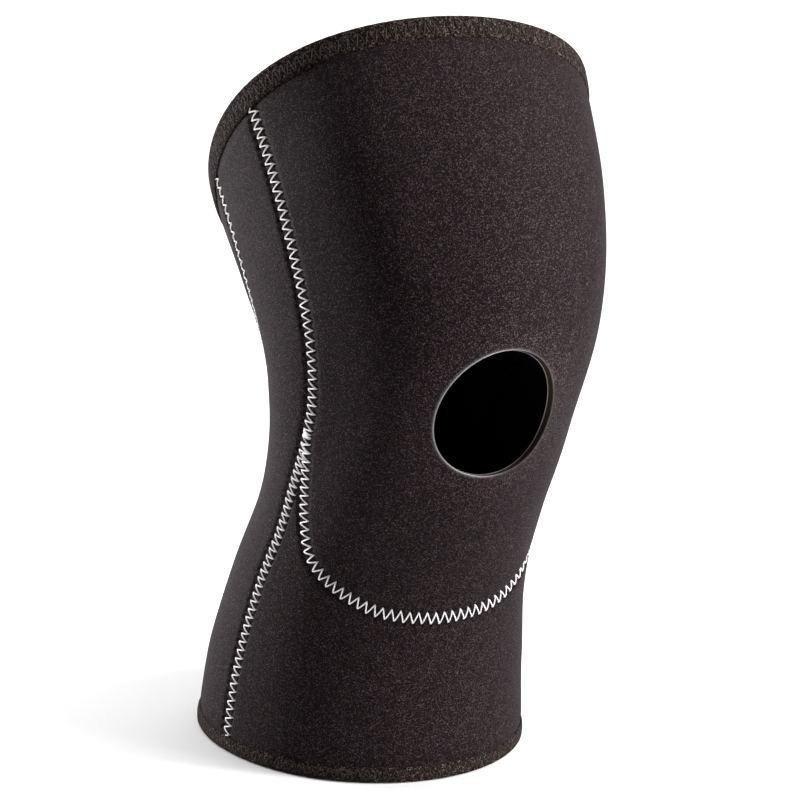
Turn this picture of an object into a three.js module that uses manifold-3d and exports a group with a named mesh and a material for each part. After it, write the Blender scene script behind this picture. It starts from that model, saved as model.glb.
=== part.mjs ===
// Knee sleeve with an open patella, filled out as it is on a slightly bent leg and standing on its bottom rim.
// Millimetres, +Z up. The kneecap faces -Y, X runs across the leg, and the two sides mirror each other.
//
// The leg's surface is a stack of round sections along the leg, from the bottom rim (rise 0) to the top rim (rise 1).
// A place on it is a turn around the leg, in radians from the kneecap, and a rise. Depth is counted outward from it.

import * as THREE from "three";
import { mergeVertices } from "three/addons/utils/BufferGeometryUtils.js";
import Module from "manifold-3d";

// Leg form
const LEG_RISE = 243.5; // bottom rim to the middle of the top rim
const TOP_TILT = THREE.MathUtils.degToRad(48.5); // the thigh and its rim lean back
const LEAN_START = 0.475; // rise where they start to
const RIM_WAVE = 4.8; // the top rim is this much higher at the sides
const SECTIONS = [
  // evenly spaced from the bottom rim to the top rim: [centre along Y, radius]
  [0, 67.8],
  [-2.5, 64.6],
  [-10.8, 59.5],
  [-27.3, 56.4],
  [-40.2, 59.1],
  [-46.7, 65.6],
  [-34.2, 72],
  [-7.8, 77.2],
];

// Kneecap, and the hollow on each side of it
const KNEECAP = 4.5;
const KNEECAP_RISE = 0.63;
const KNEECAP_HALF_RISE = 0.16;
const KNEECAP_HALF_TURN = THREE.MathUtils.degToRad(30);
const HOLLOW = 0.3; // share of the kneecap
const HOLLOW_TURN = THREE.MathUtils.degToRad(50);
const HOLLOW_HALF_TURN = THREE.MathUtils.degToRad(26);

// Laminate, as [outer face, inner face]
const JERSEY = [0, -0.5];
const CORE = [-0.8, -2.4];
const LINING = [-2.7, -3.1];
const SEAM_GAP = 0.6; // between the cut edges of two panels

// Patella hole: an oval cut square through the front thigh panel
const HOLE_RISE = 0.604;
const HOLE_HALF_TURN = THREE.MathUtils.degToRad(22.5);
const HOLE_HALF_RISE = 0.071;
const HOLE_SIDES = 32;

// Seams
const SIDE_SEAM_TURN = THREE.MathUtils.degToRad(71);
const SIDE_SEAM_SHIFT = THREE.MathUtils.degToRad(7.5); // further back below the knee
const SIDE_SEAM_BEND = [0.43, 0.64]; // rises between which it shifts
const BACK_SEAM_TURN = THREE.MathUtils.degToRad(122);
const BACK_SEAM_TOP = THREE.MathUtils.degToRad(19); // further forward at the top rim
const BACK_SEAM_BOTTOM = THREE.MathUtils.degToRad(5); // further forward at the bottom rim
const JUNCTION_RISE = 0.567; // where the seam under the knee meets the side seams
const UNDERKNEE = [
  // the right half of the seam under the knee: [share of the way to the side seam, rise]
  [0, 0.274],
  [0.28, 0.283],
  [0.48, 0.309],
  [0.68, 0.35],
  [0.78, 0.385],
  [0.86, 0.437],
  [1, JUNCTION_RISE],
];
const SHIN_TIP = 0.015; // the shin panel's thin tips stop this share of the seam short of the junctions

// Bindings: a tape folded over each rim
const TAPE = 0.8;
const TAPE_CLEARANCE = 0.65;
const TOP_TAPE_REACH = 7.5; // height of the tape's outer leg
const BOTTOM_TAPE_REACH = 6.4;

// Threads, as strips as wide as their zigzag
const ZIGZAG = 5;
const TAPE_ZIGZAG = 4.5;
const THREAD = 0.5;
const THREAD_GAP = 0.5;
const UNDERKNEE_START = 0.046; // share of the seam left free beside the side seam's zigzag

// Grid steps
const RISE_STEPS = 16;
const FRONT_STEPS = 20;
const SIDE_STEPS = 4;
const BACK_STEPS = 12;
const THIGH_STEPS = 10;
const SHIN_STEPS = 8;
const RING_STEPS = 36;

const { smoothstep, lerp } = THREE.MathUtils;
const manifold = await Module();
manifold.setup();
const leftUnderknee = UNDERKNEE.slice(1).reverse().map(([share, rise]) => [-share, rise]);
const sections = smoothCurve(SECTIONS);
const underknee = smoothCurve([...leftUnderknee, ...UNDERKNEE]);

// A smooth curve through evenly spaced pairs of values.
function smoothCurve(pairs) {
  const points = pairs.map(([x, y]) => new THREE.Vector3(x, y, 0));
  return new THREE.CatmullRomCurve3(points, false, "catmullrom", 0.5);
}

// A point of the leg's surface, moved outward by depth. A rise past a rim goes straight on along the leg.
function onLeg(turn, rise, depth) {
  const inside = THREE.MathUtils.clamp(rise, 0, 1);
  const past = (rise - inside) * LEG_RISE;
  const { x: centre, y: round } = sections.getPoint(inside);
  const radius = round + kneecap(turn, inside) + depth;
  const lean = TOP_TILT * smoothstep(inside, LEAN_START, 1);
  const reach = radius * Math.cos(turn);
  const wave = RIM_WAVE * Math.max(2 * inside - 1, 0) ** 2 * Math.cos(2 * turn);
  return new THREE.Vector3(
    radius * Math.sin(turn),
    centre - reach * Math.cos(lean) + past * Math.sin(lean),
    LEG_RISE * inside + reach * Math.sin(lean) + past * Math.cos(lean) - wave,
  );
}

// How far the kneecap pushes the sleeve out.
function kneecap(turn, rise) {
  const off = Math.abs(turn - 2 * Math.PI * Math.round(turn / (2 * Math.PI)));
  const cap = bell(off / KNEECAP_HALF_TURN);
  const hollow = HOLLOW * bell((off - HOLLOW_TURN) / HOLLOW_HALF_TURN);
  return KNEECAP * (cap - hollow) * bell((rise - KNEECAP_RISE) / KNEECAP_HALF_RISE);
}

function bell(x) {
  return Math.exp(-x * x);
}

// The turn that spans a length along the surface at a rise.
function turnOver(length, rise) {
  return length / sections.getPoint(THREE.MathUtils.clamp(rise, 0, 1)).y;
}

function sideSeam(rise) {
  return SIDE_SEAM_TURN + SIDE_SEAM_SHIFT * (1 - smoothstep(rise, ...SIDE_SEAM_BEND));
}

function backSeam(rise) {
  const top = BACK_SEAM_TOP * smoothstep(rise, 0.5, 1);
  const bottom = BACK_SEAM_BOTTOM * smoothstep(0.5 - rise, 0, 0.5);
  return BACK_SEAM_TURN - top - bottom;
}

// The seam under the knee, left junction (0) to right junction (1), moved square to itself by a length, up when positive.
function underkneeSeam(along, shift) {
  const { x: share, y: rise } = underknee.getPointAt(along);
  const run = underknee.getTangentAt(along);
  const radius = sections.getPoint(rise).y;
  const across = new THREE.Vector2(run.x * sideSeam(rise) * radius, run.y * LEG_RISE).normalize();
  return {
    turn: share * sideSeam(rise) - (across.y * shift) / radius,
    rise: rise + (across.x * shift) / LEG_RISE,
  };
}

// A closed slab: a box whose three shares (0 to 1) are placed one by one. The squares of its inner face are split on the
// same diagonal as those of its outer face, so that layers with the same steps nest.
function slab(acrossSteps, alongSteps, place) {
  const geometry = new THREE.BoxGeometry(1, 1, 1, acrossSteps, alongSteps, 1);
  const index = geometry.getIndex();
  const innerFace = geometry.groups[5];
  for (let i = innerFace.start; i < innerFace.start + innerFace.count; i += 6) {
    const [a, b, d, , c] = [0, 1, 2, 3, 4].map((k) => index.getX(i + k));
    [a, b, c, a, c, d].forEach((corner, k) => index.setX(i + k, corner));
  }
  const position = geometry.getAttribute("position");
  for (let i = 0; i < position.count; i++) {
    const point = place(position.getX(i) + 0.5, position.getY(i) + 0.5, position.getZ(i) + 0.5);
    position.setXYZ(i, point.x, point.y, point.z);
  }
  return geometry;
}

// A closed ring: a turned profile whose corners are placed one by one for each share of the way round.
function ring(profile, steps, place) {
  const outline = [...profile, profile[0]];
  const geometry = new THREE.LatheGeometry(outline, steps);
  const position = geometry.getAttribute("position");
  const uv = geometry.getAttribute("uv");
  for (let i = 0; i < position.count; i++) {
    const corner = outline[Math.round(uv.getY(i) * (outline.length - 1))];
    const point = place(uv.getX(i) % 1, corner);
    position.setXYZ(i, point.x, point.y, point.z);
  }
  return geometry;
}

// Side panel, between the side seam and the back seam. side is 1 at +X and -1 at -X.
function sidePanel(side, [outer, inner]) {
  return slab(SIDE_STEPS, RISE_STEPS, (across, along, out) => {
    const gap = turnOver(SEAM_GAP / 2, along);
    const share = side > 0 ? across : 1 - across;
    const turn = lerp(sideSeam(along) + gap, backSeam(along) - gap, share);
    return onLeg(side * turn, along, lerp(inner, outer, out));
  });
}

// Back panel, between the two back seams.
function backPanel([outer, inner]) {
  return slab(BACK_STEPS, RISE_STEPS, (across, along, out) => {
    const edge = backSeam(along) + turnOver(SEAM_GAP / 2, along);
    return onLeg(lerp(edge, 2 * Math.PI - edge, across), along, lerp(inner, outer, out));
  });
}

// Front shin panel, between the side seams and under the seam under the knee.
function shinPanel([outer, inner]) {
  return slab(FRONT_STEPS, SHIN_STEPS, (across, along, out) => {
    const top = underkneeSeam(lerp(SHIN_TIP, 1 - SHIN_TIP, across), -SEAM_GAP / 2);
    const edge = sideSeam(top.rise) - turnOver(SEAM_GAP / 2, top.rise);
    const atEdge = across === 0 || across === 1;
    const share = (atEdge ? (2 * across - 1) * edge : top.turn) / sideSeam(top.rise);
    const rise = along * top.rise;
    return onLeg(share * sideSeam(rise), rise, lerp(inner, outer, out));
  });
}

// A geometry as a manifold solid.
function toSolid(geometry) {
  const corners = geometry.index ? geometry.toNonIndexed() : geometry;
  const bare = new THREE.BufferGeometry().setAttribute("position", corners.getAttribute("position"));
  const merged = mergeVertices(bare, 1e-3);
  return new manifold.Manifold(
    new manifold.Mesh({
      numProp: 3,
      vertProperties: merged.attributes.position.array,
      triVerts: new Uint32Array(merged.index.array),
    }),
  );
}

// A geometry with a tool cut out of it.
function cut(geometry, tool) {
  const left = toSolid(geometry).subtract(toSolid(tool)).getMesh();
  return new THREE.BufferGeometry()
    .setAttribute("position", new THREE.BufferAttribute(left.vertProperties, 3))
    .setIndex(new THREE.BufferAttribute(left.triVerts, 1));
}

// The oval cutter of the patella hole, square to the panel at the hole's middle.
function holeCutter() {
  const top = onLeg(0, HOLE_RISE + HOLE_HALF_RISE, 0);
  const bottom = onLeg(0, HOLE_RISE - HOLE_HALF_RISE, 0);
  const halfWidth = onLeg(HOLE_HALF_TURN, HOLE_RISE, 0).x;
  const oval = new THREE.Shape().absellipse(0, 0, halfWidth, top.distanceTo(bottom) / 2, 0, 2 * Math.PI);
  const depth = 60;
  const prism = new THREE.ExtrudeGeometry(oval, { depth, bevelEnabled: false, curveSegments: HOLE_SIDES });
  const across = new THREE.Vector3(1, 0, 0);
  const up = top.clone().sub(bottom).normalize();
  const frame = new THREE.Matrix4().makeBasis(across, up, across.clone().cross(up));
  return prism
    .translate(0, 0, -depth / 2)
    .applyMatrix4(frame)
    .translate(0, (top.y + bottom.y) / 2, (top.z + bottom.z) / 2);
}

// Front thigh panel, between the side seams and above the seam under the knee, with the patella hole.
function thighPanel([outer, inner]) {
  const sheet = slab(FRONT_STEPS, THIGH_STEPS, (across, along, out) => {
    const foot = underkneeSeam(across, SEAM_GAP / 2);
    const rise = lerp(foot.rise, 1, along);
    const edge = sideSeam(rise) - turnOver(SEAM_GAP / 2, rise);
    const share = lerp(foot.turn / sideSeam(foot.rise), 2 * across - 1, along);
    const turn = across === 0 || across === 1 ? Math.sign(share) * edge : share * edge;
    return onLeg(turn, rise, lerp(inner, outer, out));
  });
  return cut(sheet, holeCutter());
}

// A place on or beside a rim: depth outward, and height past the cut edge of the panels.
function atRim(top, round, depth, past) {
  const rise = top ? 1 + past / LEG_RISE : -past / LEG_RISE;
  return onLeg((top ? 1 : -1) * 2 * Math.PI * round, rise, depth);
}

// Binding tape: one leg outside the panels, a fold past their edge, one leg inside.
function binding(top, reach) {
  const inside = LINING[1] - TAPE_CLEARANCE;
  const outside = TAPE_CLEARANCE - 0.1;
  const fold = TAPE_CLEARANCE + TAPE;
  const leg = fold - reach;
  const profile = [
    [outside, leg],
    [outside + TAPE, leg],
    [outside + TAPE, TAPE_CLEARANCE],
    [outside, fold],
    [inside, fold],
    [inside - TAPE, TAPE_CLEARANCE],
    [inside - TAPE, leg],
    [inside, leg],
    [inside, TAPE_CLEARANCE],
    [outside, TAPE_CLEARANCE],
  ].map(([depth, past]) => new THREE.Vector2(depth, past));
  return ring(profile, RING_STEPS, (round, corner) => atRim(top, round, corner.x, corner.y));
}

// Thread of a binding's zigzag, as a ring strip in the middle of the tape's leg.
function bindingThread(top, reach, outsideFace) {
  const fold = TAPE_CLEARANCE + TAPE;
  const middle = fold - reach + TAPE_ZIGZAG / 2 + THREAD_GAP;
  const tapeFace = outsideFace ? TAPE_CLEARANCE - 0.1 + TAPE : LINING[1] - TAPE_CLEARANCE - TAPE;
  const near = tapeFace + (outsideFace ? THREAD_GAP : -THREAD_GAP - THREAD);
  const profile = [
    [near, middle - TAPE_ZIGZAG / 2],
    [near + THREAD, middle - TAPE_ZIGZAG / 2],
    [near + THREAD, middle + TAPE_ZIGZAG / 2],
    [near, middle + TAPE_ZIGZAG / 2],
  ].map(([depth, past]) => new THREE.Vector2(depth, past));
  return ring(profile, RING_STEPS, (round, corner) => atRim(top, round, corner.x, corner.y));
}

// Depth range of a seam's strip, outside the jersey or inside the lining.
function threadDepth(outsideFace) {
  const near = outsideFace ? THREAD_GAP : LINING[1] - 2 * THREAD_GAP - THREAD;
  return [near + THREAD, near];
}

// Thread of a seam that runs from binding to binding.
function uprightThread(side, seam, outsideFace) {
  const [outer, inner] = threadDepth(outsideFace);
  const bottom = (BOTTOM_TAPE_REACH - TAPE_CLEARANCE) / LEG_RISE;
  const top = 1 - (TOP_TAPE_REACH - TAPE_CLEARANCE) / LEG_RISE;
  return slab(1, RISE_STEPS, (across, along, out) => {
    const rise = lerp(bottom, top, along);
    const turn = side * seam(rise) + turnOver((across - 0.5) * ZIGZAG, rise);
    return onLeg(turn, rise, lerp(inner, outer, out));
  });
}

// Thread of the seam under the knee.
function underkneeThread(outsideFace) {
  const [outer, inner] = threadDepth(outsideFace);
  return slab(24, 1, (along, across, out) => {
    const seam = lerp(UNDERKNEE_START, 1 - UNDERKNEE_START, along);
    const { turn, rise } = underkneeSeam(seam, (across - 0.5) * ZIGZAG);
    return onLeg(turn, rise, lerp(inner, outer, out));
  });
}

const brace = new THREE.Group();
brace.name = "knee_brace";

const finishes = {
  jersey: new THREE.MeshStandardMaterial({ color: 0x2b2628, roughness: 0.9, metalness: 0 }),
  core: new THREE.MeshStandardMaterial({ color: 0x1c1a19, roughness: 0.95, metalness: 0 }),
  lining: new THREE.MeshStandardMaterial({ color: 0x3a3738, roughness: 0.92, metalness: 0 }),
  tape: new THREE.MeshStandardMaterial({ color: 0x1e1a19, roughness: 0.95, metalness: 0 }),
  whiteThread: new THREE.MeshStandardMaterial({ color: 0xe6e3e4, roughness: 0.7, metalness: 0 }),
  blackThread: new THREE.MeshStandardMaterial({ color: 0x121112, roughness: 0.65, metalness: 0 }),
};

function add(name, geometry, finish) {
  const mesh = new THREE.Mesh(geometry, finishes[finish]);
  mesh.name = name;
  brace.add(mesh);
}

const layers = [
  ["outer_jersey", JERSEY, "jersey"],
  ["foam_core", CORE, "core"],
  ["inner_lining", LINING, "lining"],
];
for (const [layer, depths, finish] of layers) {
  add(`front_thigh_${layer}`, thighPanel(depths), finish);
  add(`front_shin_${layer}`, shinPanel(depths), finish);
  add(`left_side_${layer}`, sidePanel(-1, depths), finish);
  add(`right_side_${layer}`, sidePanel(1, depths), finish);
  add(`back_${layer}`, backPanel(depths), finish);
}

add("top_binding", binding(true, TOP_TAPE_REACH), "tape");
add("bottom_binding", binding(false, BOTTOM_TAPE_REACH), "tape");

const threads = [
  ["needle_thread", true],
  ["bobbin_thread", false],
];
for (const [thread, outsideFace] of threads) {
  add(`left_side_seam_${thread}`, uprightThread(-1, sideSeam, outsideFace), "whiteThread");
  add(`right_side_seam_${thread}`, uprightThread(1, sideSeam, outsideFace), "whiteThread");
  add(`left_back_seam_${thread}`, uprightThread(-1, backSeam, outsideFace), "whiteThread");
  add(`right_back_seam_${thread}`, uprightThread(1, backSeam, outsideFace), "whiteThread");
  add(`underknee_seam_${thread}`, underkneeThread(outsideFace), "whiteThread");
  add(`top_binding_${thread}`, bindingThread(true, TOP_TAPE_REACH, outsideFace), "blackThread");
  add(`bottom_binding_${thread}`, bindingThread(false, BOTTOM_TAPE_REACH, outsideFace), "blackThread");
}

// The part's frame: on the bottom rim, in the middle of the whole object's outline.
const box = new THREE.Box3().setFromObject(brace);
const middle = box.getCenter(new THREE.Vector3());
brace.position.set(0, -middle.y, -box.min.z);

export default brace;
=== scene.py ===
"""Knee sleeve with an open patella, filled out as it is on a slightly bent leg.

The panels, bindings and threads are built on the same leg form as the CAD frame. Lengths are in millimetres
until a mesh is made, turns are in radians from the kneecap, and rises run from 0 at the bottom rim to 1 at the
top rim.
"""

import math

import bpy
import numpy as np
from mathutils import Matrix, Vector, kdtree


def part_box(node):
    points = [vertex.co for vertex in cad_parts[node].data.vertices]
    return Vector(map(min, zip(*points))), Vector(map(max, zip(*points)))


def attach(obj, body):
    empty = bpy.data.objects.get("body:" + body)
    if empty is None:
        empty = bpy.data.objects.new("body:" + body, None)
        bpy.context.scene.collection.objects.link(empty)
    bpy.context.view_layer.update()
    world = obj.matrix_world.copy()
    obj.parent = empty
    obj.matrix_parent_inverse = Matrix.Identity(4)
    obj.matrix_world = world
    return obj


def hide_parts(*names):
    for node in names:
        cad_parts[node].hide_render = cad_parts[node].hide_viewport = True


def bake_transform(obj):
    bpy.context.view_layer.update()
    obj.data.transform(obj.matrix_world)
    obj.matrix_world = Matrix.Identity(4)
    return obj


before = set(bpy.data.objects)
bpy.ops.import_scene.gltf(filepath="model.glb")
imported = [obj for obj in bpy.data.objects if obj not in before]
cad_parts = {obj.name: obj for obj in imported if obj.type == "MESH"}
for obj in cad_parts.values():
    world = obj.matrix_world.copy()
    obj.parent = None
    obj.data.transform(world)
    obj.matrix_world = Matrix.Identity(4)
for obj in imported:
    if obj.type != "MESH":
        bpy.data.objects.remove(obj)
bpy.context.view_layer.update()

# Leg form, as in the CAD
LEG_RISE = 243.5
TOP_TILT = math.radians(48.5)
LEAN_START = 0.475
RIM_WAVE = 4.8
SECTIONS = [
    # evenly spaced from the bottom rim to the top rim: centre along Y, radius
    (0, 67.8),
    (-2.5, 64.6),
    (-10.8, 59.5),
    (-27.3, 56.4),
    (-40.2, 59.1),
    (-46.7, 65.6),
    (-34.2, 72),
    (-7.8, 77.2),
]
KNEECAP = 4.5  # the kneecap fills the front out this far
KNEECAP_RISE = 0.63
KNEECAP_HALF_RISE = 0.16
KNEECAP_HALF_TURN = math.radians(30)
HOLLOW = 0.3  # share of it that sinks beside the kneecap
HOLLOW_TURN = math.radians(50)
HOLLOW_HALF_TURN = math.radians(26)
RIDGE = [
    # the muscle left of the front, evenly spaced from rim to rim: turn of its crest in degrees, height
    (45, 0),
    (47, 1.0),
    (47, 1.3),
    (47, 1.6),
    (42, 2.8),
    (35, 3.6),
    (38, 3.5),
    (42, 3.0),
    (40, 0),
]
RIDGE_RIGHT = 0.3  # share of its height on the right
RIDGE_RIGHT_TURN = math.radians(42)
RIDGE_HALF_TURN = math.radians(18)
HOLE_RISE = 0.604
HOLE_HALF_TURN = math.radians(22.5)
HOLE_HALF_RISE = 0.071
SIDE_SEAM_TURN = math.radians(71)
SIDE_SEAM_SHIFT = math.radians(7.5)
SIDE_SEAM_BEND = (0.43, 0.64)
BACK_SEAM_TURN = math.radians(122)
BACK_SEAM_TOP = math.radians(19)
BACK_SEAM_BOTTOM = math.radians(5)
JUNCTION_RISE = 0.567
UNDERKNEE = [
    # right half of the seam under the knee: share of the way to the side seam, rise
    (0, 0.274),
    (0.28, 0.283),
    (0.48, 0.309),
    (0.68, 0.35),
    (0.78, 0.385),
    (0.86, 0.437),
    (1, JUNCTION_RISE),
]

# Laminate
LAMINATE = 3.1
JERSEY = 0.5
LINING = 0.4
BOND = 0.02
PANEL_GAP = 0.01  # each panel's edge keeps this far from its seam's middle
LINING_STEP = 0.06  # the lining's seams lie this far beside the jersey's, so no light comes through a seam
SEAM_TRENCH = 0.65  # each seam lies in a trench this deep
SEAM_FLOOR = 2.2  # half the trench's width at the bottom
SEAM_SHOULDER = 2.1
SEAM_GROOVE = 0.3  # between the butted edges
INNER_SHARE = 0.3  # the lining sinks this much less
RIM_PINCH = 0.45
LIP = 0.35

# Stitches
ZIGZAG = 4.7
PITCH = 3.7
NEEDLE_DIMPLE = 1.05
NEEDLE_DIMPLE_REACH = 0.8
WHITE_THREAD = 0.56
TACK_REACH = 2.3
TACK_STEP = 0.5
SEAM_STARTS = 4  # a seam's stitches keep this far from its lower end
SEAM_STOPS = 5  # and this far from its upper end
UNDERKNEE_ENDS = 2.5
THREAD_SIDES = 8
PLY_LENGTH = 1.1  # a thread's plies turn once in this length
TAPE_ZIGZAG = 4.4
TAPE_PITCH = 3.7
BLACK_THREAD = 0.4

# Binding tapes
TAPE = 0.75
TOP_TAPE_REACH = 7.5
BOTTOM_TAPE_REACH = 6.4
FOLD = 1.45
OVERLAP_RISE = 0.55  # the tape's ends overlap at the back and stand this much higher
OVERLAP_HALF = 7
OVERLAP_SHOULDER = 1.2

# Grids
PANEL_ROWS = 500
SHIN_COLUMNS = 420
THIGH_SEAM_STEP = 0.55
THIGH_SIDE_POINTS = 210
THIGH_TOP_POINTS = 140
TAPE_COLUMNS = 700

rim_low, rim_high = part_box("bottom_binding")
AXIS_Y = (rim_low.y + rim_high.y) / 2 * 1000  # the bottom rim's middle in the row frame
AXIS_Z = FOLD  # the panels' bottom edge stands this high on the folded tape

rng = np.random.default_rng(7)


# Leg form


def smooth(x):
    x = np.clip(x, 0, 1)
    return x * x * (3 - 2 * x)


def spline(pairs, share):
    """A Catmull-Rom curve through evenly spaced pairs of values."""
    p = np.array(pairs, float)
    p = np.vstack([2 * p[0] - p[1], p, 2 * p[-1] - p[-2]])
    at = np.asarray(share, float) * (len(pairs) - 1)
    k = np.clip(np.floor(at).astype(int), 0, len(pairs) - 2)
    w = (at - k)[..., None]
    a, b, c, d = p[k], p[k + 1], p[k + 2], p[k + 3]
    return b + (c - a) / 2 * w + (a - 2.5 * b + 2 * c - d / 2) * w**2 + (1.5 * (b - c) + (d - a) / 2) * w**3


def undulation(turn, rise):
    """The soft unevenness of filled-out neoprene."""
    slow = np.sin(3 * turn + 9 * rise) * np.sin(14 * rise + 1.0)
    quick = np.sin(7 * turn - 21 * rise + 2.0) * np.sin(31 * rise)
    return 0.22 * slow + 0.08 * quick


def kneecap(turn, rise):
    """How far the kneecap pushes the sleeve out, with the hollow on each side of it."""
    turn = np.mod(turn + math.pi, 2 * math.pi) - math.pi
    cap = np.exp(-((turn / KNEECAP_HALF_TURN) ** 2))
    hollow = np.exp(-(((np.abs(turn) - HOLLOW_TURN) / HOLLOW_HALF_TURN) ** 2))
    return KNEECAP * (cap - HOLLOW * hollow) * np.exp(-(((rise - KNEECAP_RISE) / KNEECAP_HALF_RISE) ** 2))


def ridge(turn, rise):
    """How far the muscle either side of the front pushes the sleeve out."""
    turn = np.mod(turn + math.pi, 2 * math.pi) - math.pi
    line = spline(RIDGE, rise)
    left = np.exp(-(((turn + np.radians(line[..., 0])) / RIDGE_HALF_TURN) ** 2))
    right = np.exp(-(((turn - RIDGE_RIGHT_TURN) / RIDGE_HALF_TURN) ** 2))
    return line[..., 1] * (left + RIDGE_RIGHT * right)


def lean_at(rise):
    return TOP_TILT * smooth((rise - LEAN_START) / (1 - LEAN_START))


def outward(turn, rise):
    lean = lean_at(rise)
    return np.stack([np.sin(turn), -np.cos(turn) * np.cos(lean), np.cos(turn) * np.sin(lean)], -1)


def on_leg(turn, rise, depth):
    """Points of the leg's surface in the row frame, moved outward by depth. A rise past a rim goes straight on."""
    turn, rise, depth = np.broadcast_arrays(*(np.asarray(v, float) for v in (turn, rise, depth)))
    inside = np.clip(rise, 0, 1)
    past = (rise - inside) * LEG_RISE
    section = spline(SECTIONS, inside)
    lean = lean_at(inside)
    wave = RIM_WAVE * np.maximum(2 * inside - 1, 0) ** 2 * np.cos(2 * turn)
    zero = np.zeros_like(turn)
    centre = np.stack([zero, AXIS_Y + section[..., 0], AXIS_Z + LEG_RISE * inside - wave], -1)
    along = np.stack([zero, np.sin(lean), np.cos(lean)], -1)
    form = kneecap(turn, inside) + ridge(turn, inside) + undulation(turn, inside)
    reach = section[..., 1] + depth + form
    return centre + outward(turn, inside) * reach[..., None] + along * past[..., None]


def radius(rise):
    return spline(SECTIONS, np.clip(rise, 0, 1))[..., 1]


def side_turn(rise):
    low, high = SIDE_SEAM_BEND
    return SIDE_SEAM_TURN + SIDE_SEAM_SHIFT * (1 - smooth((np.asarray(rise) - low) / (high - low)))


def back_turn(rise):
    top = BACK_SEAM_TOP * smooth((np.asarray(rise) - 0.5) / 0.5)
    bottom = BACK_SEAM_BOTTOM * smooth((0.5 - np.asarray(rise)) / 0.5)
    return BACK_SEAM_TURN - top - bottom


def unit(v):
    return v / np.linalg.norm(v, axis=-1, keepdims=True)


class Seam:
    """A line on the leg's surface, sampled finely enough to measure along and across it."""

    def __init__(self, turn, rise, height=0.0):
        self.turn, self.rise = turn, rise
        self.point = on_leg(turn, rise, height)
        step = np.linalg.norm(np.diff(self.point, axis=0), axis=1)
        self.along = np.concatenate([[0], np.cumsum(step)])
        self.length = self.along[-1]
        self.run = unit(np.gradient(self.point, axis=0))
        self.out = outward(turn, np.clip(rise, 0, 1))
        self.across = unit(np.cross(self.run, self.out))
        self.tree = None

    def place(self, along, across, height):
        """Points at a length along the seam, a length across it and a height over it."""

        def at(values):
            return np.stack([np.interp(along, self.along, values[:, i]) for i in range(3)], -1)

        return at(self.point) + at(self.across) * across[:, None] + at(self.out) * height[:, None]

    def nearest(self, points):
        """Length along and across the seam of each point."""
        if self.tree is None:
            self.tree = kdtree.KDTree(len(self.point))
            for i, p in enumerate(self.point):
                self.tree.insert(p, i)
            self.tree.balance()
        flat = points.reshape(-1, 3)
        found = np.array([self.tree.find(p)[1] for p in flat])
        away = flat - self.point[found]
        across = (away * self.across[found]).sum(1)
        beside = (away * self.run[found]).sum(1)
        along = self.along[found] + beside
        past_end = np.where((found == 0) | (found == len(self.point) - 1), beside, 0)
        across = np.copysign(np.hypot(across, past_end), across)
        return along.reshape(points.shape[:-1]), across.reshape(points.shape[:-1])


def underknee_line(share):
    """Turn and rise of the seam under the knee, from the left junction (0) to the right (1)."""
    pairs = [(-s, r) for s, r in UNDERKNEE[:0:-1]] + UNDERKNEE
    point = spline(pairs, share)
    return point[..., 0] * side_turn(point[..., 1]), point[..., 1]


fine = np.linspace(0, 1, 1500)
SIDE_SEAM = {side: Seam(side * side_turn(fine), fine) for side in (-1, 1)}
BACK_SEAM = {side: Seam(side * back_turn(fine), fine) for side in (-1, 1)}
UNDERKNEE_SEAM = Seam(*underknee_line(fine))


def needle_points(start, end, pitch, width, tack=None):
    """Where the needle goes through: lengths along the seam, and lengths across it, left and right in turn."""
    along, at = [], start
    while at < end:
        along.append(at)
        in_tack = tack is not None and abs(at - tack) < TACK_REACH
        at += TACK_STEP if in_tack else pitch / 2
    along = np.array(along)
    across = np.where(np.arange(len(along)) % 2, width / 2, -width / 2)
    if tack is not None:
        tacked = abs(along - tack) < TACK_REACH
        across = np.where(tacked, across * rng.uniform(0.75, 1.15, len(along)), across)
    return along + rng.normal(0, 0.06, len(along)), across + rng.normal(0, 0.09, len(along))


def junction_along(side):
    seam = SIDE_SEAM[side]
    return np.interp(JUNCTION_RISE, seam.rise, seam.along)


def zigzag(seam, below, above, tack=None):
    """A seam with its needle points, which stop short of its two ends by the lengths below and above."""
    return seam, *needle_points(below, seam.length - above, PITCH, ZIGZAG, tack)


STITCHES = {
    "left_side_seam": zigzag(SIDE_SEAM[-1], SEAM_STARTS, SEAM_STOPS, junction_along(-1)),
    "right_side_seam": zigzag(SIDE_SEAM[1], SEAM_STARTS, SEAM_STOPS, junction_along(1)),
    "left_back_seam": zigzag(BACK_SEAM[-1], SEAM_STARTS, SEAM_STOPS),
    "right_back_seam": zigzag(BACK_SEAM[1], SEAM_STARTS, SEAM_STOPS),
    "underknee_seam": zigzag(UNDERKNEE_SEAM, UNDERKNEE_ENDS, UNDERKNEE_ENDS),
}


# Meshes


def mesh_object(name, points, faces, attributes=()):
    """A mesh piece from points in millimetres."""
    mesh = bpy.data.meshes.new(name)
    mesh.from_pydata((points / 1000).tolist(), [], faces.tolist() if hasattr(faces, "tolist") else faces)
    for label, values in attributes:
        attribute = mesh.attributes.new(label, "FLOAT", "POINT")
        attribute.data.foreach_set("value", np.asarray(values, np.float32).ravel())
    mesh.shade_smooth()
    mesh.set_sharp_from_angle(angle=math.radians(55))
    obj = bpy.data.objects.new(name, mesh)
    bpy.context.scene.collection.objects.link(obj)
    return obj


def grid_faces(rows, columns, wrap):
    """Squares of a grid of points, rows by columns. wrap joins the last column to the first."""
    across = columns if wrap else columns - 1
    r, c = np.meshgrid(np.arange(rows - 1), np.arange(across), indexing="ij")
    c2 = (c + 1) % columns
    low, high = r * columns, (r + 1) * columns
    return np.stack([low + c, low + c2, high + c2, high + c], -1).reshape(-1, 4)


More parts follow.
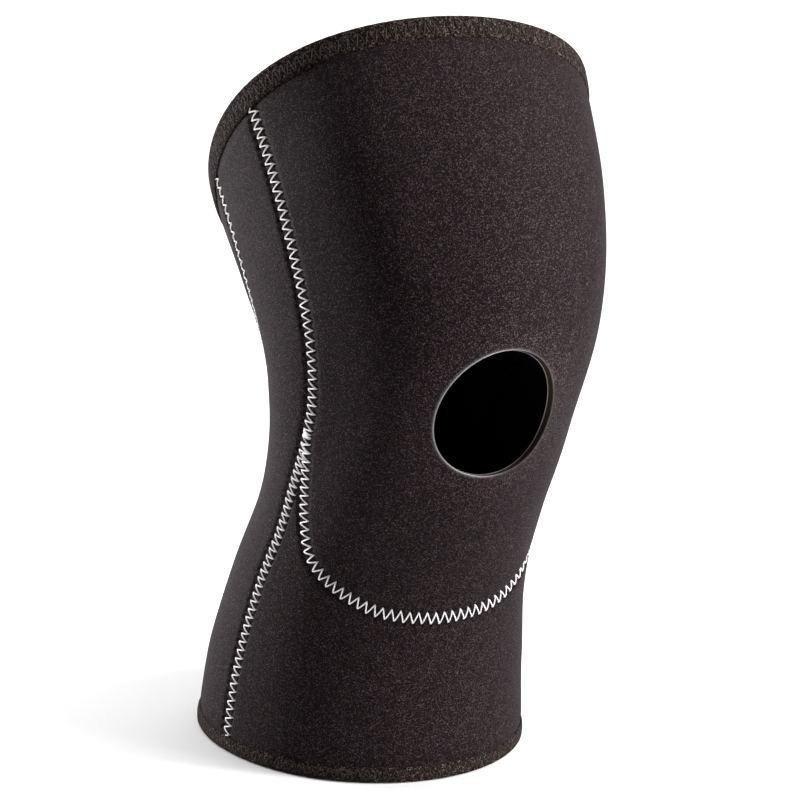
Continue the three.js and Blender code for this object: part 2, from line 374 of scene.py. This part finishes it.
def closed_sheet(name, outer, inner, wrap=False, attributes=()):
    """A closed sheet between two grids of points. Rows go up and columns to the right, seen from outside."""
    rows, columns = outer.shape[:2]
    count = rows * columns
    face = grid_faces(rows, columns, wrap)
    number = np.arange(count).reshape(rows, columns)
    rims = [(number[0], True), (number[-1], False)]
    if not wrap:
        rims += [(number[:, 0], False), (number[:, -1], True)]
    walls = []
    for rim, turned in rims:
        a = rim
        b = np.roll(rim, -1)
        if not (wrap and len(rim) == columns):
            a, b = rim[:-1], rim[1:]
        wall = np.stack([a, a + count, b + count, b], -1)
        walls.append(wall if turned else wall[:, ::-1])
    faces = np.concatenate([face, face[:, ::-1] + count, *walls])
    points = np.concatenate([outer.reshape(-1, 3), inner.reshape(-1, 3)])
    doubled = [(label, np.concatenate([v.ravel(), v.ravel()])) for label, v in attributes]
    return mesh_object(name, points, faces, doubled)


def closed_band(name, rings, attributes=()):
    """A closed band from a grid of points whose rows and columns both go round to where they began."""
    rows, columns = rings.shape[:2]
    r, c = np.meshgrid(np.arange(rows), np.arange(columns), indexing="ij")
    r2, c2 = (r + 1) % rows, (c + 1) % columns
    faces = np.stack([r * columns + c, r * columns + c2, r2 * columns + c2, r2 * columns + c], -1).reshape(-1, 4)
    return mesh_object(name, rings.reshape(-1, 3), faces, [(label, v.ravel()) for label, v in attributes])


def tube(name, path, thickness, closed=False, sides=THREAD_SIDES):
    """A round thread along a path, carried along without twisting."""
    if closed:
        run = unit(np.roll(path, -1, 0) - np.roll(path, 1, 0))
    else:
        run = unit(np.gradient(path, axis=0))
    side = np.empty_like(path)
    start = np.cross(run[0], [0.3, 0.2, 1.0])
    side[0] = start / np.linalg.norm(start)
    for i in range(1, len(path)):
        moved = side[i - 1] - run[i] * (side[i - 1] @ run[i])
        side[i] = moved / np.linalg.norm(moved)
    other = np.cross(run, side)
    angle = np.linspace(0, 2 * math.pi, sides, endpoint=False)
    ring = side[:, None] * np.cos(angle)[:, None] + other[:, None] * np.sin(angle)[:, None]
    points = path[:, None] + ring * thickness / 2
    length = np.concatenate([[0], np.cumsum(np.linalg.norm(np.diff(path, axis=0), axis=1))])
    ply = (length[:, None] / PLY_LENGTH + angle / (2 * math.pi) * 2).ravel()
    count = len(path)
    faces = grid_faces(count, sides, True)
    if closed:
        last = (count - 1) * sides
        k = np.arange(sides)
        joint = np.stack([last + k, last + (k + 1) % sides, (k + 1) % sides, k], -1)
        faces = np.concatenate([faces, joint]).tolist()
    else:
        faces = faces.tolist() + [list(range(sides))[::-1], list(range((count - 1) * sides, count * sides))]
    return mesh_object(name, points.reshape(-1, 3), faces, [("ply", ply)])


# Panels


def near_edges(width, middle_step, edge_steps=(PANEL_GAP, 0.35, 0.75, 1.25, 1.8, 2.4, 3.1, 4.0, 5.2)):
    """Lengths across a strip of a width, close together near its two edges."""
    edge = np.array(edge_steps)
    count = max(int((width - 2 * edge[-1]) / middle_step), 2)
    middle = np.linspace(edge[-1], width - edge[-1], count + 1)[1:-1]
    return np.concatenate([edge, middle, width - edge[::-1]])


def pinch(points, rise_mm, seams):
    """How far the face sinks at each point, by its seams and rims, and how near it is to a needle hole."""
    sink = np.zeros(points.shape[:-1])
    pit = np.zeros(points.shape[:-1])
    for name in seams:
        seam, needle_along, needle_across = STITCHES[name]
        along, across = seam.nearest(points)
        trench = 1 - smooth((np.abs(across) - SEAM_FLOOR) / SEAM_SHOULDER)
        sink = np.maximum(sink, SEAM_TRENCH * trench + SEAM_GROOVE * np.exp(-((across / 0.5) ** 2)))
        k = np.clip(np.searchsorted(needle_along, along), 1, len(needle_along) - 2)
        for near in (k - 1, k, k + 1):
            off = np.hypot(along - needle_along[near], across - 1.1 * needle_across[near])
            pit = np.maximum(pit, np.exp(-((off / NEEDLE_DIMPLE_REACH) ** 2)))
    bottom, top = rise_mm
    rim = np.minimum(bottom, top + BOTTOM_TAPE_REACH - TOP_TAPE_REACH)
    sink = np.maximum(sink, RIM_PINCH * smooth((BOTTOM_TAPE_REACH + 2.5 - rim) / 3.5))
    return sink, pit


def make_panel(name, turn, rise, seams, wrap=False, from_hole=None):
    """The three bonded layers of a panel, from grids of turn and rise."""
    skin = on_leg(turn, rise, 0.0)
    sink, pit = pinch(skin, (rise * LEG_RISE, (1 - rise) * LEG_RISE), seams)
    lip = 0.0 if from_hole is None else LIP * np.exp(-from_hole / 2.2)
    near_rim = smooth((np.minimum(rise, 1 - rise) * LEG_RISE - BOTTOM_TAPE_REACH) / 3)
    inner = lip - LAMINATE + sink * (1 + (INNER_SHARE - 1) * near_rim)
    outer = np.maximum(lip - sink - NEEDLE_DIMPLE * pit, inner + JERSEY + LINING + 0.1)
    cut_edge_and_highlight = np.zeros_like(outer)
    hole_nearness = np.zeros_like(outer)
    if from_hole is not None:
        # The jersey is drawn paler within about 11 mm of the hole
        hole_nearness = np.exp(-((from_hole / 11) ** 2))
        # The pale cut edge round the hole: pale all round, and made paler on the left by a painted highlight where
        # the lip catches the light
        cut_edge_and_highlight = np.exp(-from_hole / 0.25) * (0.12 + 0.88 * smooth(0.5 - turn / HOLE_HALF_TURN))
    layers = {
        "outer_jersey": (outer, outer - JERSEY),
        "foam_core": (outer - JERSEY - BOND, inner + LINING + BOND),
        "inner_lining": (inner + LINING, inner),
    }
    step = LINING_STEP * (1.0 if from_hole is None else smooth(from_hole / 4))
    clear_of_rims = smooth(rise * 10) * smooth((1 - rise) * 10)
    lining_turn, lining_rise = turn + step / radius(rise), rise + step / LEG_RISE * clear_of_rims
    made = {}
    for layer, (top, bottom) in layers.items():
        at_turn, at_rise = (lining_turn, lining_rise) if layer == "inner_lining" else (turn, rise)
        made[layer] = closed_sheet(
            f"{name}_{layer}_cloth",
            on_leg(at_turn, at_rise, top),
            on_leg(at_turn, at_rise, bottom),
            wrap,
            [("cut_edge_and_highlight", cut_edge_and_highlight), ("pit", pit), ("hole_nearness", hole_nearness)],
        )
        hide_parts(f"{name}_{layer}")
    return made


def side_panel(side):
    rise = np.linspace(0, 1, PANEL_ROWS)[:, None]
    width = (back_turn(rise) - side_turn(rise)) * radius(rise)
    spots = near_edges(50.0, 3.0)
    share = np.where(spots < 6, spots / width, np.where(spots > 44, 1 - (50 - spots) / width, spots / 50))
    turn = side_turn(rise) + share * width / radius(rise)
    if side < 0:
        turn = -turn[:, ::-1]
    word = "right" if side > 0 else "left"
    return make_panel(f"{word}_side", turn, rise + 0 * turn, [f"{word}_side_seam", f"{word}_back_seam"])


def back_panel():
    rise = np.linspace(0, 1, PANEL_ROWS)[:, None]
    width = 2 * (math.pi - back_turn(rise)) * radius(rise)
    spots = near_edges(120.0, 3.0)
    share = np.where(spots < 6, spots / width, np.where(spots > 114, 1 - (120 - spots) / width, spots / 120))
    turn = back_turn(rise) + share * width / radius(rise)
    return make_panel("back", turn, rise + 0 * turn, ["left_back_seam", "right_back_seam"])


def shin_panel():
    seam = np.linspace(0, UNDERKNEE_SEAM.length, SHIN_COLUMNS)
    turn = np.interp(seam, UNDERKNEE_SEAM.along, UNDERKNEE_SEAM.turn)
    top = np.interp(seam, UNDERKNEE_SEAM.along, UNDERKNEE_SEAM.rise)
    share = np.clip(turn / side_turn(top), -0.9999, 0.9999)
    rows = near_edges(100.0, 1.4)[:, None] / 100
    rise = rows * (top - PANEL_GAP / LEG_RISE)
    return make_panel(
        "front_shin", share * side_turn(rise), rise, ["left_side_seam", "right_side_seam", "underknee_seam"]
    )


def thigh_outline():
    """The front thigh panel's outline, from the left junction under the knee and round by the top rim."""
    along = np.arange(0, UNDERKNEE_SEAM.length, THIGH_SEAM_STEP)
    turn = [np.interp(along, UNDERKNEE_SEAM.along, UNDERKNEE_SEAM.turn)]
    rise = [np.interp(along, UNDERKNEE_SEAM.along, UNDERKNEE_SEAM.rise)]
    up = np.linspace(JUNCTION_RISE, 1, THIGH_SIDE_POINTS, endpoint=False)
    turn.append(side_turn(up))
    rise.append(up)
    over = np.linspace(1, -1, THIGH_TOP_POINTS, endpoint=False)
    turn.append(over * side_turn(1.0))
    rise.append(np.ones_like(over))
    down = np.linspace(1, JUNCTION_RISE, THIGH_SIDE_POINTS, endpoint=False)
    turn.append(-side_turn(down))
    rise.append(down)
    return np.concatenate(turn), np.concatenate(rise)


def thigh_panel():
    edge_turn, edge_rise = thigh_outline()
    away = np.hypot(edge_turn / HOLE_HALF_TURN, (edge_rise - HOLE_RISE) / HOLE_HALF_RISE)
    hole_turn = edge_turn / away
    hole_rise = HOLE_RISE + (edge_rise - HOLE_RISE) / away
    reach = np.linalg.norm(on_leg(edge_turn, edge_rise, 0) - on_leg(hole_turn, hole_rise, 0), axis=1)
    near_hole = np.array([0, 0.12, 0.35, 0.7, 1.2, 1.9, 2.8, 4.0, 5.5])
    near_seam = np.array([PANEL_GAP, 0.35, 0.75, 1.25, 1.8, 2.4, 3.1, 4.0, 5.2, 7.0, 9.0])[::-1]
    middle = np.linspace(0, 1, 26)[1:-1, None]
    inner_edge, outer_edge = near_hole[-1], near_seam[0]
    between = inner_edge + middle * (reach - inner_edge - outer_edge)
    spots = np.vstack([near_hole[:, None] + 0 * reach, between, reach - near_seam[:, None]])
    share = spots / reach
    turn = hole_turn + (edge_turn - hole_turn) * share
    rise = hole_rise + (edge_rise - hole_rise) * share
    seams = ["left_side_seam", "right_side_seam", "underknee_seam"]
    return make_panel("front_thigh", turn[::-1], rise[::-1], seams, True, spots[::-1])


# Bindings


def at_rim(top, turn, depth, past):
    rise = 1 + past / LEG_RISE if top else -past / LEG_RISE
    return on_leg(turn, rise, depth)


def tape_outline(reach):
    """The folded tape's section as (depth, past): its middle line, thickened with round ends."""
    outside = -RIM_PINCH + TAPE / 2
    inside = -LAMINATE + RIM_PINCH - TAPE / 2
    middle, half = (outside + inside) / 2, (outside - inside) / 2
    leg = FOLD - reach
    outer_leg = [
        (outside - 0.1, leg + 0.3),
        (outside, leg + 1.2),
        (outside, -3),
        (outside + 0.1, -1.2),
        (outside + 0.1, -0.3),
    ]
    arc = [
        (middle + (half + 0.1) * math.cos(a), 0.1 + (FOLD - TAPE / 2 - 0.1) * math.sin(a))
        for a in np.radians(np.linspace(15, 165, 9))
    ]
    inner_leg = [(2 * middle - d, p) for d, p in reversed(outer_leg)]
    line = np.array(outer_leg + arc + inner_leg)
    run = unit(np.gradient(line, axis=0))
    normal = np.stack([-run[:, 1], run[:, 0]], -1)
    thick = TAPE / 2
    ends = []
    for at, direction, first in ((line[-1], run[-1], normal[-1]), (line[0], -run[0], -normal[0])):
        for a in np.radians([45, 90, 135]):
            ends.append(at + thick * (math.cos(a) * first + math.sin(a) * direction))
    outer, inner = line - normal * thick, line + normal * thick
    return np.vstack([inner, ends[:3], outer[::-1], ends[3:]])


def overlap_lift(arc, girth):
    """How much higher the tape stands at a length round the rim, where its two ends overlap."""
    return OVERLAP_RISE * smooth((OVERLAP_HALF - np.abs(arc - girth / 2)) / OVERLAP_SHOULDER)


def make_binding(name, top, reach):
    """A tape folded over a rim, with its overlap at the back, and the zigzag that holds it."""
    turn = np.linspace(0, 2 * math.pi, TAPE_COLUMNS, endpoint=False)[None, :] * (1 if top else -1)
    outline = tape_outline(reach)
    depth, past = outline[:, :1], outline[:, 1:]
    middle = FOLD - reach + TAPE_ZIGZAG / 2 + 0.6
    girth = 2 * math.pi * float(radius(1.0 if top else 0.0))
    count = int(girth / (TAPE_PITCH / 2) / 2) * 2
    step = girth / count
    arc = np.mod(turn, 2 * math.pi) / (2 * math.pi) * girth
    is_leg = (past < FOLD * 0.2).astype(float)
    outer_side = np.where(depth > -LAMINATE / 2, 1.0, -1.0)
    pit = 0.0
    for row, across in ((0, -TAPE_ZIGZAG / 2), (1, TAPE_ZIGZAG / 2)):
        off = np.abs(np.mod(arc / step - row + 1, 2) - 1) * step
        pit = pit + np.exp(-((off / 0.7) ** 2)) * np.exp(-(((past - middle - across) / 0.75) ** 2))
    overlap = overlap_lift(arc, girth)
    nap = 0.07 * np.sin(arc * 2.3 + past * 3.1) * np.sin(arc * 1.1 - past * 1.7)
    change = (overlap + nap - 0.38 * pit) * is_leg * outer_side
    fold_change = ((overlap * 0.8 if top else 0) + nap) * (1 - is_leg)
    band = at_rim(top, turn, depth + change, past + fold_change)
    tape = closed_band(f"{name}_tape", band, [("pit", pit + 0 * turn)])
    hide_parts(name)

    k = np.arange(count)
    stitch_turn = k * step / girth * 2 * math.pi
    across = np.where(k % 2, TAPE_ZIGZAG / 2, -TAPE_ZIGZAG / 2)
    faces = {
        "needle_thread": -RIM_PINCH + TAPE,
        "bobbin_thread": -LAMINATE + RIM_PINCH - TAPE,
    }
    threads = {}
    for thread, face in faces.items():
        way = 1 if thread == "needle_thread" else -1
        path = []
        for fraction, height in ((0, -0.45), (0.12, -0.05), (0.35, 0.06), (0.65, 0.06), (0.88, -0.05)):
            t = stitch_turn + fraction * step / girth * 2 * math.pi
            x = middle + across * (1 - 2 * fraction)
            arc_at = np.mod(t, 2 * math.pi) / (2 * math.pi) * girth
            lift = overlap_lift(arc_at, girth)
            path.append(at_rim(top, t, face + way * (height + lift), x))
        path = np.stack(path, 1).reshape(-1, 3)
        threads[thread] = tube(f"{name}_{thread}_stitches", path, BLACK_THREAD, closed=True)
        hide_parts(f"{name}_{thread}")
    return tape, threads


def make_seam_thread(name, thread):
    """The zigzag of one thread of a seam: it dives at each needle point and crosses over between them."""
    seam, along, across = STITCHES[name]
    if thread == "needle_thread":
        base, way, left_hole, right_hole = -SEAM_TRENCH, 1.0, -0.3, -0.65
    else:
        base, way, left_hole, right_hole = -LAMINATE + INNER_SHARE * SEAM_TRENCH, -1.0, -0.1, -0.1
    steps = [(0, None), (0.07, -0.05), (0.22, 0.27), (0.5, 0.36), (0.78, 0.27), (0.93, -0.05)]
    path = []
    for fraction, height in steps:
        s = along[:-1] + (along[1:] - along[:-1]) * fraction
        x = across[:-1] + (across[1:] - across[:-1]) * fraction
        if height is None:
            lift = np.where(across[:-1] < 0, left_hole, right_hole)
        else:
            lift = np.full(len(s), float(height))
        path.append(seam.place(s, x, base + way * (lift + rng.normal(0, 0.03, len(s)))))
    path = np.stack(path, 1).reshape(-1, 3)
    piece = tube(f"{name}_{thread}_stitches", path, WHITE_THREAD)
    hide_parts(f"{name}_{thread}")
    return piece


# Materials


class Material:
    """A node material with short helpers."""

    def __init__(self, name, **settings):
        self.data = bpy.data.materials.new(name)
        self.data.use_nodes = True
        self.tree = self.data.node_tree
        self.shader = self.tree.nodes["Principled BSDF"]
        for label, value in settings.items():
            self.shader.inputs[label.replace("_", " ")].default_value = value
        self.place = self.node("ShaderNodeTexCoord").outputs["Object"]

    def node(self, kind, inputs=None, **settings):
        made = self.tree.nodes.new(kind)
        for label, value in settings.items():
            setattr(made, label, value)
        for label, value in (inputs or {}).items():
            if isinstance(value, bpy.types.NodeSocket):
                self.tree.links.new(value, made.inputs[label])
            else:
                made.inputs[label].default_value = value
        return made

    def noise(self, feature_mm, detail=2.0, roughness=0.5):
        inputs = {"Vector": self.place, "Scale": 1000 / feature_mm, "Detail": detail, "Roughness": roughness}
        return self.node("ShaderNodeTexNoise", inputs).outputs["Fac"]

    def ramp(self, value, stops):
        made = self.node("ShaderNodeValToRGB", {"Fac": value})
        ramp = made.color_ramp
        while len(ramp.elements) < len(stops):
            ramp.elements.new(1.0)
        for element, (at, colour) in zip(ramp.elements, stops):
            element.position = at
            element.color = (*colour, 1.0)
        return made.outputs["Color"]

    def math(self, operation, a, b=0.0):
        return self.node("ShaderNodeMath", {0: a, 1: b}, operation=operation).outputs[0]

    def mix(self, factor, a, b):
        made = self.node("ShaderNodeMix", {0: factor, 6: a, 7: b}, data_type="RGBA")
        return made.outputs[2]

    def bump(self, height, distance_mm):
        inputs = {"Height": height, "Distance": distance_mm / 1000, "Strength": 1.0}
        return self.node("ShaderNodeBump", inputs).outputs["Normal"]

    def link(self, value, label):
        self.tree.links.new(value, self.shader.inputs[label])


def jersey_material():
    m = Material("black_jersey", Roughness=0.7, Sheen_Weight=0.02, Sheen_Roughness=0.3, Specular_IOR_Level=0.03)
    m.shader.inputs["Sheen Tint"].default_value = (0.92, 0.84, 0.92, 1)
    loops = m.node("ShaderNodeTexVoronoi", {"Vector": m.place, "Scale": 1000 / 0.3, "Randomness": 1.0})
    chance = m.node("ShaderNodeSeparateColor", {"Color": loops.outputs["Color"]}).outputs
    glint = m.math("ADD", m.math("MULTIPLY", m.math("POWER", chance["Red"], 7.0), 5.4), 0.38)
    mottle = m.math("ADD", m.math("MULTIPLY", m.noise(3.5, 2.0), 0.3), 0.85)
    hole_nearness = m.node("ShaderNodeAttribute", attribute_name="hole_nearness").outputs["Fac"]
    # Up to half again paler near the hole
    paler = m.math("ADD", m.math("MULTIPLY", hole_nearness, 0.5), 1.0)
    shade = m.math("MULTIPLY", m.math("MULTIPLY", glint, mottle), paler)
    tint = m.node(
        "ShaderNodeCombineColor",
        {
            "Red": m.math("MULTIPLY", shade, 0.0123),
            "Green": m.math("MULTIPLY", shade, m.math("ADD", m.math("MULTIPLY", chance["Green"], 0.0032), 0.0068)),
            "Blue": m.math("MULTIPLY", shade, m.math("ADD", m.math("MULTIPLY", chance["Blue"], 0.0050), 0.0066)),
        },
    ).outputs["Color"]
    # Pale cut edge of the hole, with its painted highlight on the left side
    cut_edge_and_highlight = m.node("ShaderNodeAttribute", attribute_name="cut_edge_and_highlight").outputs["Fac"]
    colour = m.mix(cut_edge_and_highlight, tint, (0.50, 0.48, 0.485, 1))
    # Near-black in the needle dimples: painted shade, on top of the real dent the dimples make
    pit = m.node("ShaderNodeAttribute", attribute_name="pit").outputs["Fac"]
    colour = m.mix(m.math("MULTIPLY", pit, 0.9), colour, (0.0008, 0.0006, 0.0006, 1))
    m.link(colour, "Base Color")
    height = m.math("ADD", m.math("MULTIPLY", m.noise(0.5, 2.0, 0.6), 0.6), m.math("MULTIPLY", chance["Red"], 0.4))
    m.link(m.bump(height, 0.16), "Normal")
    return m.data


def foam_material():
    m = Material("foam_rubber", Roughness=0.85, Specular_IOR_Level=0.05)
    cell = m.node("ShaderNodeTexVoronoi", {"Vector": m.place, "Scale": 1000 / 0.35})
    colour = m.ramp(cell.outputs["Distance"], [(0.1, (0.009, 0.0054, 0.0040)), (0.6, (0.030, 0.0185, 0.0135))])
    m.link(colour, "Base Color")
    m.link(m.bump(cell.outputs["Distance"], 0.12), "Normal")
    return m.data


def lining_material():
    m = Material("lining_knit", Roughness=0.85, Specular_IOR_Level=0.03)
    grain = m.noise(0.6, 2.0)
    # The lining is black cloth; its colour is drawn darker than the jersey's as painted shade for the inside of
    # the sleeve
    colour = m.ramp(grain, [(0.3, (0.002, 0.0018, 0.002)), (0.7, (0.005, 0.0045, 0.005))])
    cut_edge_and_highlight = m.node("ShaderNodeAttribute", attribute_name="cut_edge_and_highlight").outputs["Fac"]
    colour = m.mix(m.ramp(cut_edge_and_highlight, [(0.05, (0, 0, 0)), (0.12, (1, 1, 1))]), colour, (0.30, 0.27, 0.245, 1))
    m.link(colour, "Base Color")
    m.link(m.bump(grain, 0.15), "Normal")
    return m.data


def tape_material():
    m = Material("napped_tape", Roughness=0.9, Specular_IOR_Level=0.03)
    tufts = m.node("ShaderNodeTexVoronoi", {"Vector": m.place, "Scale": 1000 / 0.38, "Randomness": 1.0})
    chance = m.node("ShaderNodeSeparateColor", {"Color": tufts.outputs["Color"]}).outputs["Red"]
    nap = m.noise(0.9, 3.0, 0.7)
    shade = m.math("ADD", m.math("MULTIPLY", m.math("POWER", chance, 5.0), 0.8), m.math("MULTIPLY", nap, 0.5))
    tufted = [(0.12, (0.0025, 0.0015, 0.0013)), (0.35, (0.0125, 0.0080, 0.0072)), (1.0, (0.13, 0.095, 0.085))]
    colour = m.ramp(shade, tufted)
    # Near-black at the tape's stitch points: painted shade, on top of the dent the stitches pull in
    pit = m.node("ShaderNodeAttribute", attribute_name="pit").outputs["Fac"]
    colour = m.mix(m.math("MULTIPLY", pit, 0.9), colour, (0.0008, 0.0006, 0.0006, 1))
    m.link(colour, "Base Color")
    m.link(m.bump(shade, 0.4), "Normal")
    return m.data


def thread_material(name, dark, light, gloss):
    m = Material(name, Roughness=0.6, Specular_IOR_Level=gloss)
    ply = m.node("ShaderNodeAttribute", attribute_name="ply").outputs["Fac"]
    # The plies' twist gives bumps, and darker bands in the colour between the plies: painted shade, over a random
    # fibre tone
    wave = m.math("SINE", m.math("MULTIPLY", ply, 2 * math.pi))
    fibre = m.noise(0.25, 2.0)
    shade = m.math("ADD", m.math("MULTIPLY", wave, 0.3), fibre)
    m.link(m.ramp(shade, [(0.1, dark), (0.6, light)]), "Base Color")
    m.link(m.bump(shade, 0.12), "Normal")
    return m.data


# Camera

VIEW_TURN = math.radians(-25.3)
VIEW_LIFT = math.radians(14)
VIEW_ROLL = math.radians(3.1)
VIEW_DISTANCE = 0.953
VIEW_LENS = 105
VIEW_MIDDLE = Vector((0, AXIS_Y / 1000, 0.1256))
VIEW_OFFSET = (0.010, 0.0128)  # the aim is this far right of and above the middle

toward = Vector(
    (-math.sin(VIEW_TURN) * math.cos(VIEW_LIFT), math.cos(VIEW_TURN) * math.cos(VIEW_LIFT), -math.sin(VIEW_LIFT))
)
right = Vector((math.cos(VIEW_TURN), math.sin(VIEW_TURN), 0))
level_up = right.cross(toward)
camera_right = right * math.cos(VIEW_ROLL) + level_up * math.sin(VIEW_ROLL)
camera_up = level_up * math.cos(VIEW_ROLL) - right * math.sin(VIEW_ROLL)
eye = VIEW_MIDDLE - toward * VIEW_DISTANCE
aim = VIEW_MIDDLE + camera_right * VIEW_OFFSET[0] + camera_up * VIEW_OFFSET[1]
camera_data = bpy.data.cameras.new("camera")
camera_data.lens = VIEW_LENS
camera_data.sensor_width = 36
camera = bpy.data.objects.new("camera", camera_data)
back = (eye - aim).normalized()
camera_x = camera_up.cross(back).normalized()
camera_y = back.cross(camera_x)
camera.matrix_world = Matrix.Translation(eye) @ Matrix((camera_x, camera_y, back)).transposed().to_4x4()
bpy.context.scene.collection.objects.link(camera)
bpy.context.scene.camera = camera

# Pieces

panels = {
    "front_thigh": thigh_panel(),
    "front_shin": shin_panel(),
    "left_side": side_panel(-1),
    "right_side": side_panel(1),
    "back": back_panel(),
}
THREADS = ("needle_thread", "bobbin_thread")
seam_threads = [make_seam_thread(name, thread) for name in STITCHES for thread in THREADS]
top_tape, top_threads = make_binding("top_binding", True, TOP_TAPE_REACH)
bottom_tape, bottom_threads = make_binding("bottom_binding", False, BOTTOM_TAPE_REACH)

# Finishes

finish = {
    "jersey": jersey_material(),
    "core": foam_material(),
    "lining": lining_material(),
    "tape": tape_material(),
    "white_thread": thread_material("white_thread", (0.45, 0.43, 0.435), (0.84, 0.81, 0.82), 0.35),
    "black_thread": thread_material("black_thread", (0.002, 0.0015, 0.0013), (0.014, 0.0100, 0.0090), 0.25),
    # The seams' bobbin threads, inside the sleeve: a darker, matt copy of the black thread, as painted shade
    "bobbin_thread": thread_material("bobbin_thread", (0.001, 0.001, 0.001), (0.003, 0.0028, 0.0028), 0.02),
}


def dress(piece, slot, look=None):
    piece.data.materials.append(finish[look or slot])


for layers in panels.values():
    dress(layers["outer_jersey"], "jersey")
    dress(layers["foam_core"], "core")
    dress(layers["inner_lining"], "lining")
for piece in seam_threads[::2]:
    dress(piece, "white_thread")
for piece in seam_threads[1::2]:
    dress(piece, "black_thread", "bobbin_thread")
for piece in (top_tape, bottom_tape):
    dress(piece, "tape")
for piece in (*top_threads.values(), *bottom_threads.values()):
    dress(piece, "black_thread")

# Bodies: what crosses the knee has its placement baked into its mesh, and each rim turns with its own end of the
# leg

crossing = [piece for layers in panels.values() for piece in layers.values()] + seam_threads
for piece in crossing:
    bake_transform(piece)
for piece in (top_tape, *top_threads.values()):
    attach(piece, "thigh")
for piece in (bottom_tape, *bottom_threads.values()):
    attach(piece, "calf")

# Studio

BEND = 1.4  # radius of the sweep from the floor up into the backdrop
FLOOR_FRONT, FLOOR_BACK, BACKDROP_TOP, HALF_WIDTH = 3.0, 1.6, 4.0, 4.0
bend = [(-FLOOR_BACK - BEND * math.sin(a), BEND * (1 - math.cos(a))) for a in np.radians(np.arange(0, 91, 3))]
sweep = [(FLOOR_FRONT, 0.0), *bend, (-FLOOR_BACK - BEND, BACKDROP_TOP)]
facing = Matrix.Rotation(VIEW_TURN, 3, "Z")
corners = [facing @ Vector((x, -y, z)) for y, z in sweep for x in (-HALF_WIDTH, HALF_WIDTH)]
stage_mesh = bpy.data.meshes.new("studio_sweep")
stage_mesh.from_pydata(corners, [], [(2 * i, 2 * i + 1, 2 * i + 3, 2 * i + 2) for i in range(len(sweep) - 1)])
stage_mesh.shade_smooth()
studio = bpy.data.objects.new("studio_sweep", stage_mesh)
bpy.context.scene.collection.objects.link(studio)
white = Material("studio_white", Roughness=0.9)
white.shader.inputs["Base Color"].default_value = (0.65, 0.65, 0.65, 1)
stage_mesh.materials.append(white.data)

world = bpy.data.worlds.new("world")
bpy.context.scene.world = world
world.use_nodes = True
world.node_tree.nodes["Background"].inputs["Color"].default_value = (1, 1, 1, 1)
world.node_tree.nodes["Background"].inputs["Strength"].default_value = 0.03


def area_light(name, turn, lift, distance, size, power, aim=VIEW_MIDDLE):
    """A soft panel light aimed at a point, from a turn round it and a lift above the floor, in degrees."""
    a, e = math.radians(turn), math.radians(lift)
    direction = Vector((math.sin(a) * math.cos(e), -math.cos(a) * math.cos(e), math.sin(e)))
    light = bpy.data.lights.new(name, "AREA")
    light.shape = "RECTANGLE"
    light.size, light.size_y = size
    light.energy = power
    made = bpy.data.objects.new(name, light)
    made.location = aim + direction * distance
    made.rotation_euler = direction.to_track_quat("Z", "Y").to_euler()
    bpy.context.scene.collection.objects.link(made)


area_light("left_softbox", -135, 8, 1.3, (0.4, 0.6), 41)
area_light("right_low_softbox", 45, 8, 1.3, (0.4, 0.6), 21)
area_light("right_high_softbox", 60, 35, 1.3, (0.4, 0.6), 30)
area_light("top_softbox", -25, 85, 1.8, (1.2, 1.2), 23)
area_light("backdrop_light", -25, 39, 2.06, (3.0, 0.6), 105, facing @ Vector((0, 2.9, 0.9)))
bpy.context.scene.view_settings.view_transform = "Standard"
